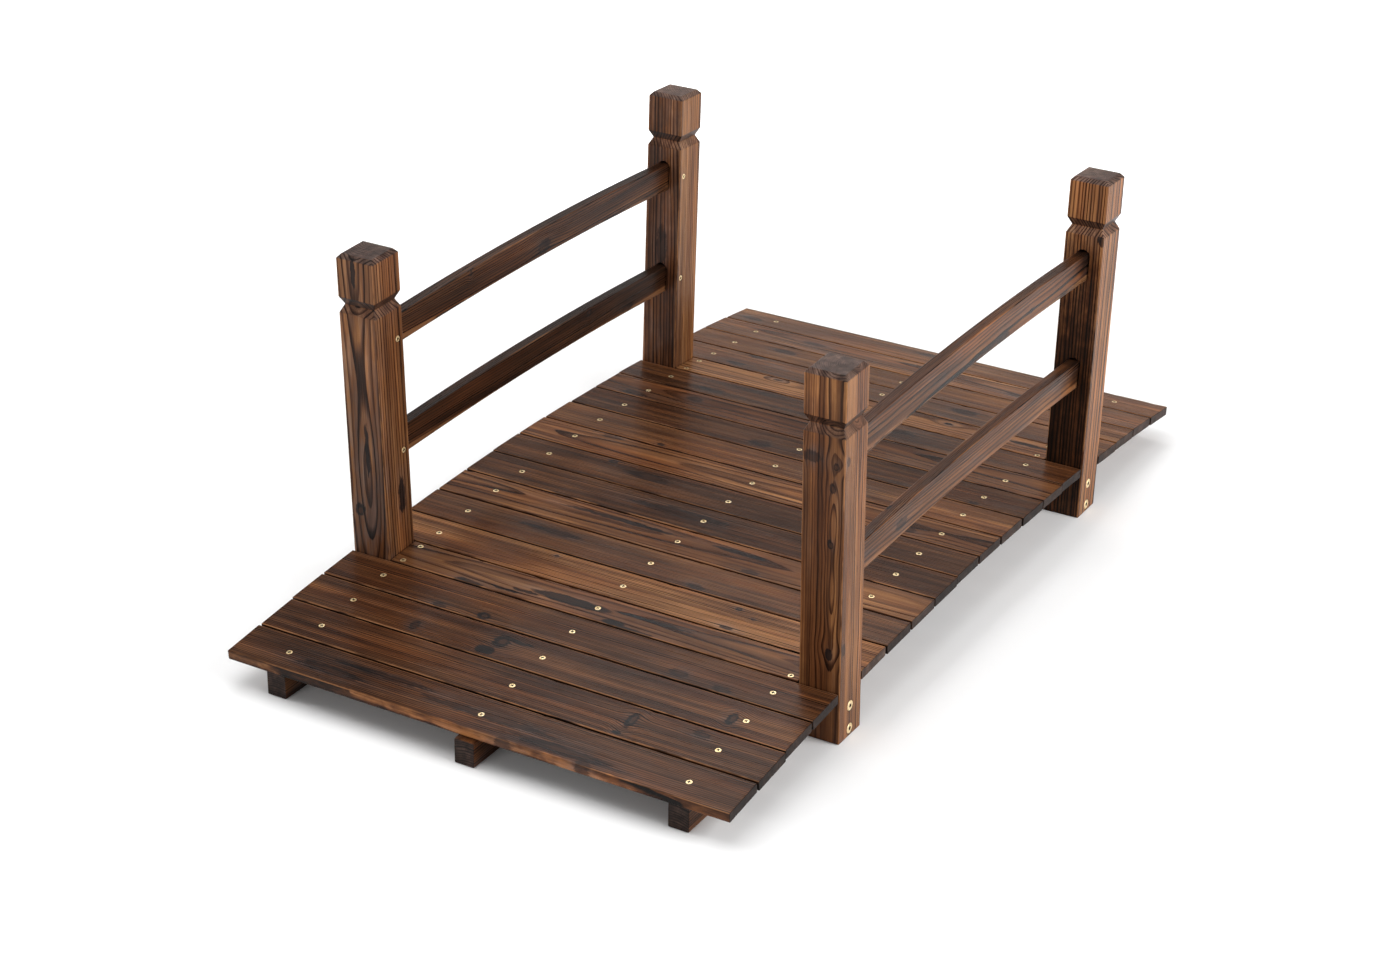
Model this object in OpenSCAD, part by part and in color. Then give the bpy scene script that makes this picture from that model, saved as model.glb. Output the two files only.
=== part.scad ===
// Low-arched wooden garden footbridge with a post-and-rail balustrade on each side.
// +X runs along the bridge, +Y is its left side and +Z is up.
// The origin lies on the ground under the middle of the span. Lengths are in millimetres.

/* [Deck] */
// Length of a full deck board, across the bridge
board_length = 820; // [700:5:1000]
// Width of a full deck board, along the bridge
board_width = 73; // [60:0.5:85]
// Thickness of every deck board
board_thickness = 15; // [10:0.5:22]
// Gap between neighbouring deck boards
board_gap = 3.5; // [2:0.5:8]
// Arris planed off the long edges of every board
board_arris = 1.5; // [0.5:0.25:3]
// Full boards between the two pairs of posts
middle_boards = 10; // [6:1:14]
// Full boards beyond each pair of posts
end_boards = 4; // [2:1:6]
// Room between the end of a short board and the post beside it
short_board_play = 2; // [1:0.5:5]
// Radius of the arched walking surface
deck_radius = 6350; // [5000:50:9000]
// Height of the walking surface at the two ends of the deck
deck_end_height = 54; // [45:1:90]

/* [Stringers] */
// Width of each of the three curved stringers under the deck
stringer_width = 32; // [24:1:45]
// How far the outer stringers stop short of the ends of the deck
outer_stringer_setback = 6; // [0:1:25]
// How far the centre stringer runs out past the ends of the deck
centre_stringer_overhang = 8; // [0:1:20]
// Clear height under the middle of each stringer
arch_rise = 40; // [20:1:50]
// Flat foot that each stringer keeps on the inner side of the posts
arch_margin = 25; // [15:1:60]
// Seat clearance between the boards and the curved top of the stringers
board_seat = 0.2; // [0.1:0.05:0.5]

/* [Posts] */
// Width of the square posts
post_width = 64; // [50:1:75]
// Length of a post, from the ground to its top
post_height = 563; // [520:1:700]
// Outward lean of the posts along the bridge, in degrees
post_lean = 1.9; // [0:0.1:4]
// Distance from the ends of the boards to the outer faces of the posts
post_setback = 0; // [0:0.5:20]
// Room between a post and the deck boards in front of and behind it
post_play = 2.5; // [2:0.5:8]
// Arris planed off the upright edges of the posts
post_arris = 1.5; // [0.5:0.25:4]
// Height of the bottom edge of the vee groove under the cap
groove_height = 472; // [465:1:490]
// Height of the vee groove
groove_width = 25; // [12:1:30]
// Depth of the vee groove
groove_depth = 6.5; // [3:0.5:10]
// Inset of the bevel round the top of the cap
cap_bevel_inset = 6; // [3:0.5:12]
// Height of the bevel round the top of the cap
cap_bevel_height = 6.5; // [3:0.5:12]

/* [Rails] */
// Height of a rail
rail_height = 45; // [30:1:50]
// Thickness of a rail
rail_thickness = 18; // [12:1:28]
// Arris planed off the long edges of a rail
rail_arris = 1.25; // [0.5:0.25:3]
// Radius of the arch of the rails
rail_radius = 8000; // [6000:100:12000]
// Distance up the post to the middle of the upper rail
upper_rail_height = 422; // [400:1:430]
// Distance up the post to the middle of the lower rail
lower_rail_height = 242; // [200:1:300]
// Depth of the round-ended mortises that hold the rails
mortise_depth = 28; // [15:1:40]
// Room between a rail's sides and its mortise
mortise_side_play = 2; // [1:0.25:4]
// Room between a rail's corners and the round ends of its mortise
mortise_seat = 0.3; // [0.1:0.05:0.5]
// Room between the end of a rail and the bottom of its mortise
rail_end_play = 0.5; // [0.2:0.1:2]

/* [Hidden] */
curve_sides = 720;
slot_sides = 48;
board_brown = [0.36, 0.21, 0.12];
stringer_brown = [0.22, 0.13, 0.08];
post_brown = [0.42, 0.25, 0.14];
rail_brown = [0.31, 0.19, 0.12];

// Layout of the boards by distance along the arch, from the middle of the span
board_pitch = board_width + board_gap;
board_count = middle_boards + 2 * end_boards + 2;
middle_run = middle_boards * board_pitch - board_gap;
end_run = end_boards * board_pitch - board_gap;
post_slot = post_width + 2 * post_play;
post_station = middle_run / 2 + post_slot / 2;
deck_half = middle_run / 2 + post_slot + end_run;
short_board_width = post_slot - 2 * board_gap;

// Arch of the deck
function along_deg(station) = station / deck_radius * 180 / PI;
deck_centre_z = deck_end_height - deck_radius * cos(along_deg(deck_half));
deck_end_x = deck_radius * sin(along_deg(deck_half));

// Posts and the stringers that they are bolted to
post_outer_y = board_length / 2 - post_setback;
post_y = post_outer_y - post_width / 2;
post_inner_y = post_outer_y - post_width;
post_at_deck_x = deck_radius * sin(along_deg(post_station));
post_at_deck_z = deck_centre_z + deck_radius * cos(along_deg(post_station));
post_x = post_at_deck_x - post_at_deck_z * tan(post_lean);
stringer_y = post_inner_y - stringer_width / 2;
stringer_radius = deck_radius - board_thickness - board_seat;
arch_half = post_x - post_width / 2 - arch_margin;
arch_radius = (pow(arch_half, 2) + pow(arch_rise, 2)) / (2 * arch_rise);
short_board_length = 2 * (post_inner_y - short_board_play);

// Where a rail meets the inner face of the far posts, for its distance up the post
function rail_x(up) = post_x - post_width / 2 * cos(post_lean) + up * sin(post_lean);
function rail_z(up) = post_width / 2 * sin(post_lean) + up * cos(post_lean);
function rail_slope(up) = asin(rail_x(up) / rail_radius);
function rail_centre_z(up) = rail_z(up) - rail_radius * cos(rail_slope(up));

// Round-ended mortise that touches nothing but leaves the rail's corners their seat
mortise_radius = rail_thickness / 2 + mortise_side_play;
mortise_reach = rail_height / 2 - rail_arris
    - sqrt(pow(mortise_radius - mortise_seat, 2) - pow(rail_thickness / 2, 2));

function is_short(i) = i == end_boards || i == board_count - 1 - end_boards;
function board_station(i) =
    i < end_boards ? -deck_half + board_width / 2 + i * board_pitch :
    i == end_boards ? -post_station :
    i <= end_boards + middle_boards
        ? -middle_run / 2 + board_width / 2 + (i - end_boards - 1) * board_pitch :
    -board_station(board_count - 1 - i);
function board_name(i) = str("deck_board_", i < 9 ? "0" : "", i + 1);

BOARDS = [for (i = [0:board_count - 1]) board_name(i)];

// Rectangle about the origin with its corners planed off
module eased_rectangle(width, height, arris) {
    x = width / 2;
    y = height / 2;
    polygon([
        [x, y - arris], [x - arris, y], [arris - x, y], [-x, y - arris],
        [-x, arris - y], [arris - x, -y], [x - arris, -y], [x, arris - y]
    ]);
}

// One deck board, laid flat on the arch; the boards beside the posts are narrower and shorter
module deck_board(i) {
    width = is_short(i) ? short_board_width : board_width;
    length = is_short(i) ? short_board_length : board_length;
    color(board_brown)
    translate([0, 0, deck_centre_z])
    rotate([0, along_deg(board_station(i)), 0])
    translate([0, 0, deck_radius - board_thickness / 2])
    rotate([90, 0, 0])
    linear_extrude(length, center = true)
    eased_rectangle(width, board_thickness, board_arris);
}

// Stringer with an arched top under the boards, flat feet and a shallow arch between them
module stringer(y, half_length) {
    color(stringer_brown)
    translate([0, y, 0])
    rotate([90, 0, 0])
    linear_extrude(stringer_width, center = true)
    difference() {
        intersection() {
            translate([0, deck_centre_z]) circle(stringer_radius, $fn = curve_sides);
            translate([-half_length, 0]) square([2 * half_length, deck_radius]);
        }
        translate([0, arch_rise - arch_radius]) circle(arch_radius, $fn = curve_sides);
    }
}

module left_stringer() stringer(stringer_y, deck_end_x - outer_stringer_setback);
module centre_stringer() stringer(0, deck_end_x + centre_stringer_overhang);
module right_stringer() stringer(-stringer_y, deck_end_x - outer_stringer_setback);

// Section of what is planed off one face of a post: the vee groove and the bevel of the cap
module post_face_cuts() {
    groove_top = groove_height + groove_width;
    polygon([[0, groove_height], [-groove_depth, groove_height + groove_width / 2], [0, groove_top]]);
    polygon([[0, post_height - cap_bevel_height], [-cap_bevel_inset, post_height], [0, post_height]]);
}

// Upright post with its groove and cap, standing on the origin and running on below the ground
module post_blank() {
    run_on = post_width;
    difference() {
        translate([0, 0, -run_on])
        linear_extrude(post_height + run_on)
        eased_rectangle(post_width, post_width, post_arris);
        for (face = [0:90:270])
            rotate([0, 0, face])
            translate([post_width / 2, 0, 0])
            rotate([90, 0, 0])
            linear_extrude(2 * post_width, center = true)
            post_face_cuts();
    }
}

// Mortise for a rail, in line with the rail where it meets the post
module mortise(up) {
    translate([rail_x(up), 0, rail_z(up)])
    rotate([0, 90 + rail_slope(up), 0])
    translate([0, 0, -mortise_depth])
    linear_extrude(2 * mortise_depth)
    union() {
        square([2 * mortise_reach, 2 * mortise_radius], center = true);
        for (end = [-1, 1]) translate([end * mortise_reach, 0]) circle(mortise_radius, $fn = slot_sides);
    }
}

// Post that leans outwards, with its foot cut level on the ground
module post(end, side) {
    color(post_brown)
    translate([0, side * post_y, 0])
    mirror([end < 0 ? 1 : 0, 0, 0])
    difference() {
        translate([post_x, 0, 0]) rotate([0, post_lean, 0]) post_blank();
        translate([post_x, 0, -2 * post_width]) cube(4 * post_width, center = true);
        mortise(upper_rail_height);
        mortise(lower_rail_height);
    }
}

module front_left_post() post(-1, 1);
module front_right_post() post(-1, -1);
module rear_left_post() post(1, 1);
module rear_right_post() post(1, -1);

// Arched rail that runs from one mortise to the other
module rail(side, up) {
    reach_deg = rail_slope(up) + (mortise_depth - rail_end_play) / rail_radius * 180 / PI;
    color(rail_brown)
    translate([0, side * post_y, rail_centre_z(up)])
    rotate([90, 0, 0])
    rotate([0, 0, 90 - reach_deg])
    rotate_extrude(angle = 2 * reach_deg, $fn = curve_sides)
    translate([rail_radius, 0])
    eased_rectangle(rail_height, rail_thickness, rail_arris);
}

module left_upper_rail() rail(1, upper_rail_height);
module left_lower_rail() rail(1, lower_rail_height);
module right_upper_rail() rail(-1, upper_rail_height);
module right_lower_rail() rail(-1, lower_rail_height);

for (i = [0:board_count - 1]) deck_board(i);
left_stringer();
centre_stringer();
right_stringer();
front_left_post();
front_right_post();
rear_left_post();
rear_right_post();
left_upper_rail();
left_lower_rail();
right_upper_rail();
right_lower_rail();
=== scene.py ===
"""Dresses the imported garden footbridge: charred softwood, brass screws and bolts, studio and camera.

Lengths are in metres, as in the frame, except in the materials and the marks on the wood, which are in
millimetres. Each wooden piece is an object whose local X runs along the grain, so that its figure can be
read from object coordinates.
"""

import math
import random
from collections import namedtuple

import bmesh
import bpy
from mathutils import Euler, Matrix, Vector


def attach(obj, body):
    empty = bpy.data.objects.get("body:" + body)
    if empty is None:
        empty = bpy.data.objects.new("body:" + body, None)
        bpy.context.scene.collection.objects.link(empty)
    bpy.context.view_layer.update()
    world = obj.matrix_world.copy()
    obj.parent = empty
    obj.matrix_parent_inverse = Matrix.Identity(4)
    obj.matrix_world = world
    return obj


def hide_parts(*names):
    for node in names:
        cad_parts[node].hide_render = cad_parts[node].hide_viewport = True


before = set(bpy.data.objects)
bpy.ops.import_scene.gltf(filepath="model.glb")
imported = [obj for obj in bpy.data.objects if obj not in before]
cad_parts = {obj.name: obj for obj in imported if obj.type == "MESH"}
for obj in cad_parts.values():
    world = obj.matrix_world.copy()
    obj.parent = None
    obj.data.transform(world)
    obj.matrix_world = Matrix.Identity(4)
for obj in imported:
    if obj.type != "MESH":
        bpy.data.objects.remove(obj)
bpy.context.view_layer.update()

# Sizes of the CAD solids, repeated from part.scad
BOARD_LENGTH = 0.820
BOARD_WIDTH = 0.073
BOARD_THICKNESS = 0.015
BOARD_GAP = 0.0035
MIDDLE_BOARDS = 10
END_BOARDS = 4
SHORT_BOARD_PLAY = 0.002
DECK_RADIUS = 6.350
DECK_END_HEIGHT = 0.054
STRINGER_WIDTH = 0.032
STRINGER_SETBACK = 0.006
STRINGER_OVERHANG = 0.008
ARCH_RISE = 0.040
ARCH_MARGIN = 0.025
BOARD_SEAT = 0.0002
POST_WIDTH = 0.064
POST_HEIGHT = 0.563
POST_LEAN = math.radians(1.9)
POST_PLAY = 0.0025
GROOVE_HEIGHT = 0.472
GROOVE_WIDTH = 0.025
GROOVE_DEPTH = 0.0065
CAP_BEVEL_INSET = 0.006
CAP_BEVEL_HEIGHT = 0.0065
RAIL_HEIGHT = 0.045
RAIL_THICKNESS = 0.018
RAIL_ARRIS = 0.00125
RAIL_RADIUS = 8.000
RAIL_UPS = {"upper": 0.422, "lower": 0.242}
RAIL_END_PLAY = 0.0005
MORTISE_DEPTH = 0.028
MORTISE_SIDE_PLAY = 0.002
MORTISE_SEAT = 0.0003

# Places that follow from those sizes
BOARD_PITCH = BOARD_WIDTH + BOARD_GAP
MIDDLE_RUN = MIDDLE_BOARDS * BOARD_PITCH - BOARD_GAP
POST_SLOT = POST_WIDTH + 2 * POST_PLAY
POST_STATION = (MIDDLE_RUN + POST_SLOT) / 2
DECK_HALF = MIDDLE_RUN / 2 + POST_SLOT + END_BOARDS * BOARD_PITCH - BOARD_GAP
DECK_CENTRE_Z = DECK_END_HEIGHT - DECK_RADIUS * math.cos(DECK_HALF / DECK_RADIUS)
DECK_END_X = DECK_RADIUS * math.sin(DECK_HALF / DECK_RADIUS)
POST_INNER_Y = BOARD_LENGTH / 2 - POST_WIDTH
POST_Y = BOARD_LENGTH / 2 - POST_WIDTH / 2
POST_AT_DECK_X = DECK_RADIUS * math.sin(POST_STATION / DECK_RADIUS)
POST_AT_DECK_Z = DECK_CENTRE_Z + DECK_RADIUS * math.cos(POST_STATION / DECK_RADIUS)
POST_X = POST_AT_DECK_X - POST_AT_DECK_Z * math.tan(POST_LEAN)
SHORT_BOARD_LENGTH = 2 * (POST_INNER_Y - SHORT_BOARD_PLAY)
SHORT_BOARD_WIDTH = POST_SLOT - 2 * BOARD_GAP
STRINGER_Y = POST_INNER_Y - STRINGER_WIDTH / 2
STRINGER_RADIUS = DECK_RADIUS - BOARD_THICKNESS - BOARD_SEAT
ARCH_HALF = POST_X - POST_WIDTH / 2 - ARCH_MARGIN
ARCH_RADIUS = (ARCH_HALF ** 2 + ARCH_RISE ** 2) / (2 * ARCH_RISE)
MORTISE_RADIUS = RAIL_THICKNESS / 2 + MORTISE_SIDE_PLAY
MORTISE_REACH = (RAIL_HEIGHT / 2 - RAIL_ARRIS
                 - math.sqrt((MORTISE_RADIUS - MORTISE_SEAT) ** 2 - (RAIL_THICKNESS / 2) ** 2))

# Fasteners
SCREW_RADIUS = 0.0046
SCREW_SINK = 0.0002
SCREW_Y = 0.328
SHORT_BOARD_SCREW_SPREAD = 0.022
RAIL_SCREW_INSET = 0.013
RAIL_SCREW_RISE = 0.002
BOLT_RADIUS = 0.0078
BOLT_STAND = 0.0003
BOLT_HEIGHTS = (0.0115, 0.0485)

# How far the edges and ends of the pieces are eased, and how close together their sections lie
BOARD_EDGE_EASE = 0.0016
BOARD_END_EASE = 0.0011
BOARD_STEP = 0.0055
STRINGER_EDGE_EASE = 0.0014
STRINGER_END_EASE = 0.0012
STRINGER_STEP = 0.012
POST_EDGE_EASE = 0.0016
POST_PROFILE_EASE = 0.0010
RAIL_EDGE_EASE = 0.0013
RAIL_END_EASE = 0.001
RAIL_STEP = 0.010

SHARP_ANGLE = math.radians(24)
WELD = 0.000002
MM = 0.001
MM_PER_M = 1000.0


# Shapes

# Shares of the waves in a wandering line, and how much their lengths vary
WAVE_SHARES = (1.0, 0.6, 0.35)
WAVE_SPREAD = (0.7, 1.4)


def wander(rng, wavelength, amount):
    """A smooth random curve: a sum of sine waves about the given wavelength."""
    waves = []
    for share in WAVE_SHARES:
        length = rng.uniform(*WAVE_SPREAD) * share * wavelength
        waves.append((length, rng.uniform(0, 2 * math.pi), share))

    def height(x):
        waved = sum(share * math.sin(2 * math.pi * x / length + start) for length, start, share in waves)
        return amount * waved / sum(WAVE_SHARES)

    return height


def rounded_outline(half_y, half_z, ease, corner_steps=5, y_steps=8, z_steps=2):
    """Closed outline of a rectangle with rounded corners, as (y, z) points, anticlockwise."""
    points = []
    corners = ((1, -1, -90), (1, 1, 0), (-1, 1, 90), (-1, -1, 180))
    for side_y, side_z, start in corners:
        for k in range(corner_steps + 1):
            turn = math.radians(start + 90 * k / corner_steps)
            y = side_y * (half_y - ease) + ease * math.cos(turn)
            z = side_z * (half_z - ease) + ease * math.sin(turn)
            points.append((y, z))
    filled = []
    for i, here in enumerate(points):
        there = points[(i + 1) % len(points)]
        filled.append(here)
        if i % (corner_steps + 1) == corner_steps:
            steps = z_steps if abs(here[0] - there[0]) < abs(here[1] - there[1]) else y_steps
            for k in range(1, steps):
                filled.append((here[0] + (there[0] - here[0]) * k / steps,
                               here[1] + (there[1] - here[1]) * k / steps))
    return filled


def eased_line(points, cut_back):
    """Line through points in a plane, with each inner corner rounded over cut_back."""
    line = [points[0]]
    for before, corner, after in zip(points, points[1:], points[2:]):
        legs = []
        for end in (before, after):
            share = cut_back / math.dist(corner, end)
            legs.append(tuple(c + (e - c) * share for c, e in zip(corner, end)))
        middle = tuple((a + 2 * c + b) / 4 for a, c, b in zip(legs[0], corner, legs[1]))
        line += [legs[0], middle, legs[1]]
    return line + [points[-1]]


# Turns round the eased end of a piece, in degrees
TIP_TURNS = (0, 25, 50, 70)


def end_stations(half, ease, step):
    """Places along a piece from -half to half, close together where its ends are eased."""
    count = max(2, round(2 * (half - ease) / step))
    inner = [-half + ease + 2 * (half - ease) * k / count for k in range(count + 1)]
    tips = [half - ease * (1 - math.cos(math.radians(a))) for a in TIP_TURNS]
    return [-t for t in tips] + inner + tips[::-1]


def end_inset(x, half, ease):
    """How far the outline draws in near the eased end of a piece."""
    near = max(0.0, abs(x) - (half - ease))
    return ease - math.sqrt(max(0.0, ease ** 2 - near ** 2))


def circle(radius, segments):
    """Points round a circle."""
    turns = [2 * math.pi * k / segments for k in range(segments)]
    return [(radius * math.cos(a), radius * math.sin(a)) for a in turns]


def wall(bm, lower, upper):
    """Faces between two rings of points."""
    faces = []
    for i in range(len(lower)):
        j = (i + 1) % len(lower)
        faces.append(bm.faces.new((lower[i], lower[j], upper[j], upper[i])))
    return faces


def finished(bm, name):
    """The mesh that was made in bm."""
    mesh = bpy.data.meshes.new(name)
    bm.to_mesh(mesh)
    bm.free()
    return mesh


def loft(name, sections):
    """Closed mesh through rings of points that all have the same count, with a fan of faces at each end."""
    bm = bmesh.new()
    rings = [[bm.verts.new(p) for p in ring] for ring in sections]
    for ring, following in zip(rings, rings[1:]):
        wall(bm, ring, following)
    for ring in (rings[0][::-1], rings[-1]):
        middle = bm.verts.new(sum((v.co for v in ring), Vector()) / len(ring))
        for i in range(len(ring)):
            bm.faces.new((ring[i], ring[(i + 1) % len(ring)], middle))
    bmesh.ops.recalc_face_normals(bm, faces=bm.faces)
    return finished(bm, name)


def axes(x_axis, z_axis, origin):
    """Matrix of a local frame from its X and Z axes."""
    x_axis = Vector(x_axis).normalized()
    z_axis = Vector(z_axis).normalized()
    y_axis = z_axis.cross(x_axis)
    matrix = Matrix((x_axis, y_axis, z_axis)).transposed().to_4x4()
    matrix.translation = Vector(origin)
    return matrix


def joined(name, parts):
    """One mesh from (mesh, matrix) pairs."""
    bm = bmesh.new()
    for mesh, matrix in parts:
        count = len(bm.verts)
        bm.from_mesh(mesh)
        bm.verts.ensure_lookup_table()
        bmesh.ops.transform(bm, matrix=matrix, verts=bm.verts[count:])
    return finished(bm, name)


def add_object(name, data):
    """A new object in the scene."""
    made = bpy.data.objects.new(name, data)
    bpy.context.collection.objects.link(made)
    return made


def cut(mesh, cutter):
    """The mesh with the cutter's volume taken out of it, and points that coincide made one."""
    body = add_object("cut_body", mesh)
    tool = add_object("cut_tool", cutter)
    modifier = body.modifiers.new("cut", "BOOLEAN")
    modifier.operation = "DIFFERENCE"
    modifier.solver = "EXACT"
    modifier.object = tool
    graph = bpy.context.evaluated_depsgraph_get()
    result = bpy.data.meshes.new_from_object(body.evaluated_get(graph))
    result.name = mesh.name
    bm = bmesh.new()
    bm.from_mesh(result)
    bmesh.ops.remove_doubles(bm, verts=bm.verts, dist=WELD)
    bm.to_mesh(result)
    bm.free()
    bpy.data.objects.remove(body)
    bpy.data.objects.remove(tool)
    return result


def place(name, mesh, matrix, node_names, slot, *materials):
    """Puts a finished mesh in the scene as a piece that stands for the named CAD nodes."""
    mesh.shade_smooth()
    mesh.set_sharp_from_angle(angle=SHARP_ANGLE)
    for material in materials:
        mesh.materials.append(material)
    piece = add_object(name, mesh)
    piece.matrix_world = matrix
    flat_faces = piece.modifiers.new("flat_faces", "WEIGHTED_NORMAL")
    flat_faces.keep_sharp = True
    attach(piece, "root")
    if node_names:
        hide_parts(*node_names)


# Materials

# Colour sockets of a Mix node, which come after those for numbers and vectors
MIX_FACTOR = 0
MIX_FIRST = 6
MIX_SECOND = 7
MIX_RESULT = 2


class Graph:
    """Adds shader nodes to one node tree, linking each to what feeds it."""

    def __init__(self, tree):
        self.tree = tree

    def feed(self, socket, value):
        if isinstance(value, bpy.types.NodeSocket):
            self.tree.links.new(value, socket)
        else:
            socket.default_value = value

    def add(self, kind, inputs=None, **settings):
        node = self.tree.nodes.new("ShaderNode" + kind)
        for name, value in settings.items():
            setattr(node, name, value)
        for name, value in (inputs or {}).items():
            self.feed(node.inputs[name], value)
        return node

    def math(self, operation, *values):
        node = self.add("Math", operation=operation)
        for socket, value in zip(node.inputs, values):
            self.feed(socket, value)
        return node.outputs[0]

    def product(self, first, *others):
        for other in others:
            first = self.math("MULTIPLY", first, other)
        return first

    def total(self, first, *others):
        for other in others:
            first = self.math("ADD", first, other)
        return first

    def vector(self, operation, *values):
        node = self.add("VectorMath", operation=operation)
        for socket, value in zip(node.inputs, values):
            self.feed(socket, value)
        return node.outputs["Value" if operation == "LENGTH" else "Vector"]

    def scaled(self, vector, factor):
        node = self.add("VectorMath", {"Vector": vector, "Scale": factor}, operation="SCALE")
        return node.outputs["Vector"]

    def split(self, vector):
        return self.add("SeparateXYZ", {"Vector": vector}).outputs

    def fitted(self, vector, sizes):
        """The vector counted in the given sizes."""
        return self.vector("MULTIPLY", vector, tuple(1.0 / s for s in sizes))

    def noise(self, vector, sizes, detail=2.0, roughness=0.5):
        """Noise from 0 to 1 whose features have the given sizes along X, Y and Z."""
        fitted = self.fitted(vector, sizes)
        inputs = {"Vector": fitted, "Scale": 1.0, "Detail": detail, "Roughness": roughness}
        return self.add("TexNoise", inputs).outputs["Fac"]

    def drift(self, vector, sizes, amount):
        """Random vector across the grain, up to about half the amount either way."""
        inputs = {"Vector": self.fitted(vector, sizes), "Scale": 1.0}
        colour = self.add("TexNoise", inputs).outputs["Color"]
        centred = self.vector("SUBTRACT", colour, (0.5, 0.5, 0.5))
        return self.scaled(self.vector("MULTIPLY", centred, (0.0, 1.0, 1.0)), amount)

    def step(self, value, low, high, to_low=0.0, to_high=1.0):
        """Smooth step from to_low at low to to_high at high."""
        inputs = {"Value": value, "From Min": low, "From Max": high, "To Min": to_low, "To Max": to_high}
        return self.add("MapRange", inputs, interpolation_type="SMOOTHSTEP").outputs["Result"]

    def bell(self, value):
        """exp(-value squared)"""
        return self.math("EXPONENT", self.product(value, value, -1.0))

    def about(self, value, gain):
        """(value - 0.5) * gain, for noise that should add and take away alike."""
        return self.math("MULTIPLY_ADD", value, gain, self.math("MULTIPLY", gain, -0.5))

    def mix(self, factor, first, second, blend="MIX"):
        node = self.add("Mix", data_type="RGBA", blend_type=blend)
        self.feed(node.inputs[MIX_FACTOR], factor)
        self.feed(node.inputs[MIX_FIRST], first)
        self.feed(node.inputs[MIX_SECOND], second)
        return node.outputs[MIX_RESULT]

    def ramp(self, factor, stops):
        node = self.add("ValToRGB", {"Fac": factor})
        elements = node.color_ramp.elements
        while len(elements) < len(stops):
            elements.new(0.5)
        for element, (position, colour) in zip(elements, stops):
            element.position = position
            element.color = colour
        return node.outputs["Color"]


def shader_graph(owner):
    """Graph over the emptied node tree of a material or world."""
    owner.use_nodes = True
    owner.node_tree.nodes.clear()
    return Graph(owner.node_tree)


def sockets(kind, *names):
    """Group sockets of one kind."""
    return [(name, "NodeSocket" + kind) for name in names]


def new_group(name, inputs, outputs):
    """An empty shader group: its Graph, what it is given and what it results in."""
    tree = bpy.data.node_groups.new(name, "ShaderNodeTree")
    for socket, kind in inputs:
        tree.interface.new_socket(socket, in_out="INPUT", socket_type=kind)
    for socket, kind in outputs:
        tree.interface.new_socket(socket, in_out="OUTPUT", socket_type=kind)
    source = tree.nodes.new("NodeGroupInput")
    sink = tree.nodes.new("NodeGroupOutput")
    return Graph(tree), source.outputs, sink.inputs


# Sizes of the noise in the wood along X, Y and Z, in millimetres
MARK_EDGE = (16.0, 2.6, 5.0)
MARK_TWIST = (20.0, 13.0, 13.0)
MARK_VEIL = (60.0, 9.0, 12.0)
GRAIN_WANDER = (420.0, 80.0, 80.0)
GRAIN_RIPPLE = (110.0, 15.0, 15.0)
FIBRES = (60.0, 0.9, 0.9)
STREAKS = (430.0, 10.0, 10.0)
BLOTCHES = (210.0, 48.0, 48.0)
RED_PATCHES = (260.0, 36.0, 36.0)
HAZE_PATCHES = (110.0, 24.0, 24.0)
RUBBED_PATCHES = (75.0, 30.0, 30.0)

# How far the grain drifts across the piece, in millimetres
TWIST_DRIFT = 7.5
RIPPLE_DRIFT = 1.8

# How much each feature adds to or takes from the tone
STREAK_GAIN = 0.7
FIBRE_GAIN = 0.52
BLOTCH_GAIN = 0.42
MARK_GAIN = -0.35
END_GRAIN_GAIN = -0.10

# What the marks hand on to the wood
MARK_RESULTS = sockets("Vector", "Shift") + sockets("Float", "Mark", "Heart", "Smoke", "Shade")


def make_mark_group():
    """A knot, burnt streak, smoky smudge or eye in the figure at one place in the wood, or a stretch of
    darker or lighter tone, which in places is painted shade or painted light.
    """
    inputs = sockets("Vector", "Centre", "Size", "Lift")
    inputs += sockets("Float", "Dark", "Bend", "Smoke", "Shade", "Ragged", "Seed")
    g, given, result = new_group("wood_mark", inputs, MARK_RESULTS)
    here = g.scaled(g.add("TexCoord").outputs["Object"], MM_PER_M)
    there = g.vector("ADD", here, g.add("CombineXYZ", {"X": given["Seed"]}).outputs[0])
    away = g.vector("SUBTRACT", here, given["Centre"])
    plain = g.vector("LENGTH", g.vector("DIVIDE", away, given["Size"]))
    edge = g.noise(there, MARK_EDGE, detail=5.0, roughness=0.68)

    # The dark of the mark, and the lighter heart of a knot
    twisted = g.vector("ADD", away, g.drift(there, MARK_TWIST, TWIST_DRIFT))
    twisted = g.vector("DIVIDE", twisted, given["Size"])
    ragged = g.math("ADD", g.vector("LENGTH", twisted), g.about(edge, given["Ragged"]))
    g.feed(result["Mark"], g.product(g.step(ragged, 0.82, 1.04, 1.0, 0.0), given["Dark"]))
    # Shade darkens the wood about the mark, or lightens it below zero; on post fronts, the front of board 1
    # and the rail ends this is painted shade and painted light
    g.feed(result["Shade"], g.product(g.step(ragged, 0.5, 1.2, 1.0, 0.0), given["Shade"]))
    heart = g.vector("ADD", twisted, (0.14, 0.12, 0.0))
    heart = g.math("ADD", g.vector("LENGTH", heart), g.about(edge, 0.6))
    g.feed(result["Heart"], g.product(g.step(heart, 0.36, 0.62, 1.0, 0.0), given["Bend"]))

    # Smoke round it, and the bend that it gives to the growth rings
    veil = g.step(g.noise(there, MARK_VEIL, detail=4.0, roughness=0.65), 0.36, 0.62)
    g.feed(result["Smoke"], g.product(g.bell(g.math("MULTIPLY", plain, 0.55)), veil, given["Smoke"]))
    near = g.bell(g.math("MULTIPLY", plain, 0.42))
    pull = g.scaled(g.vector("MULTIPLY", away, (0.0, 1.0, 1.0)), g.product(near, given["Bend"], -0.9))
    rise = g.scaled(given["Lift"], g.bell(g.math("MULTIPLY", plain, 0.85)))
    g.feed(result["Shift"], g.vector("ADD", pull, rise))
    return g.tree
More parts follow.
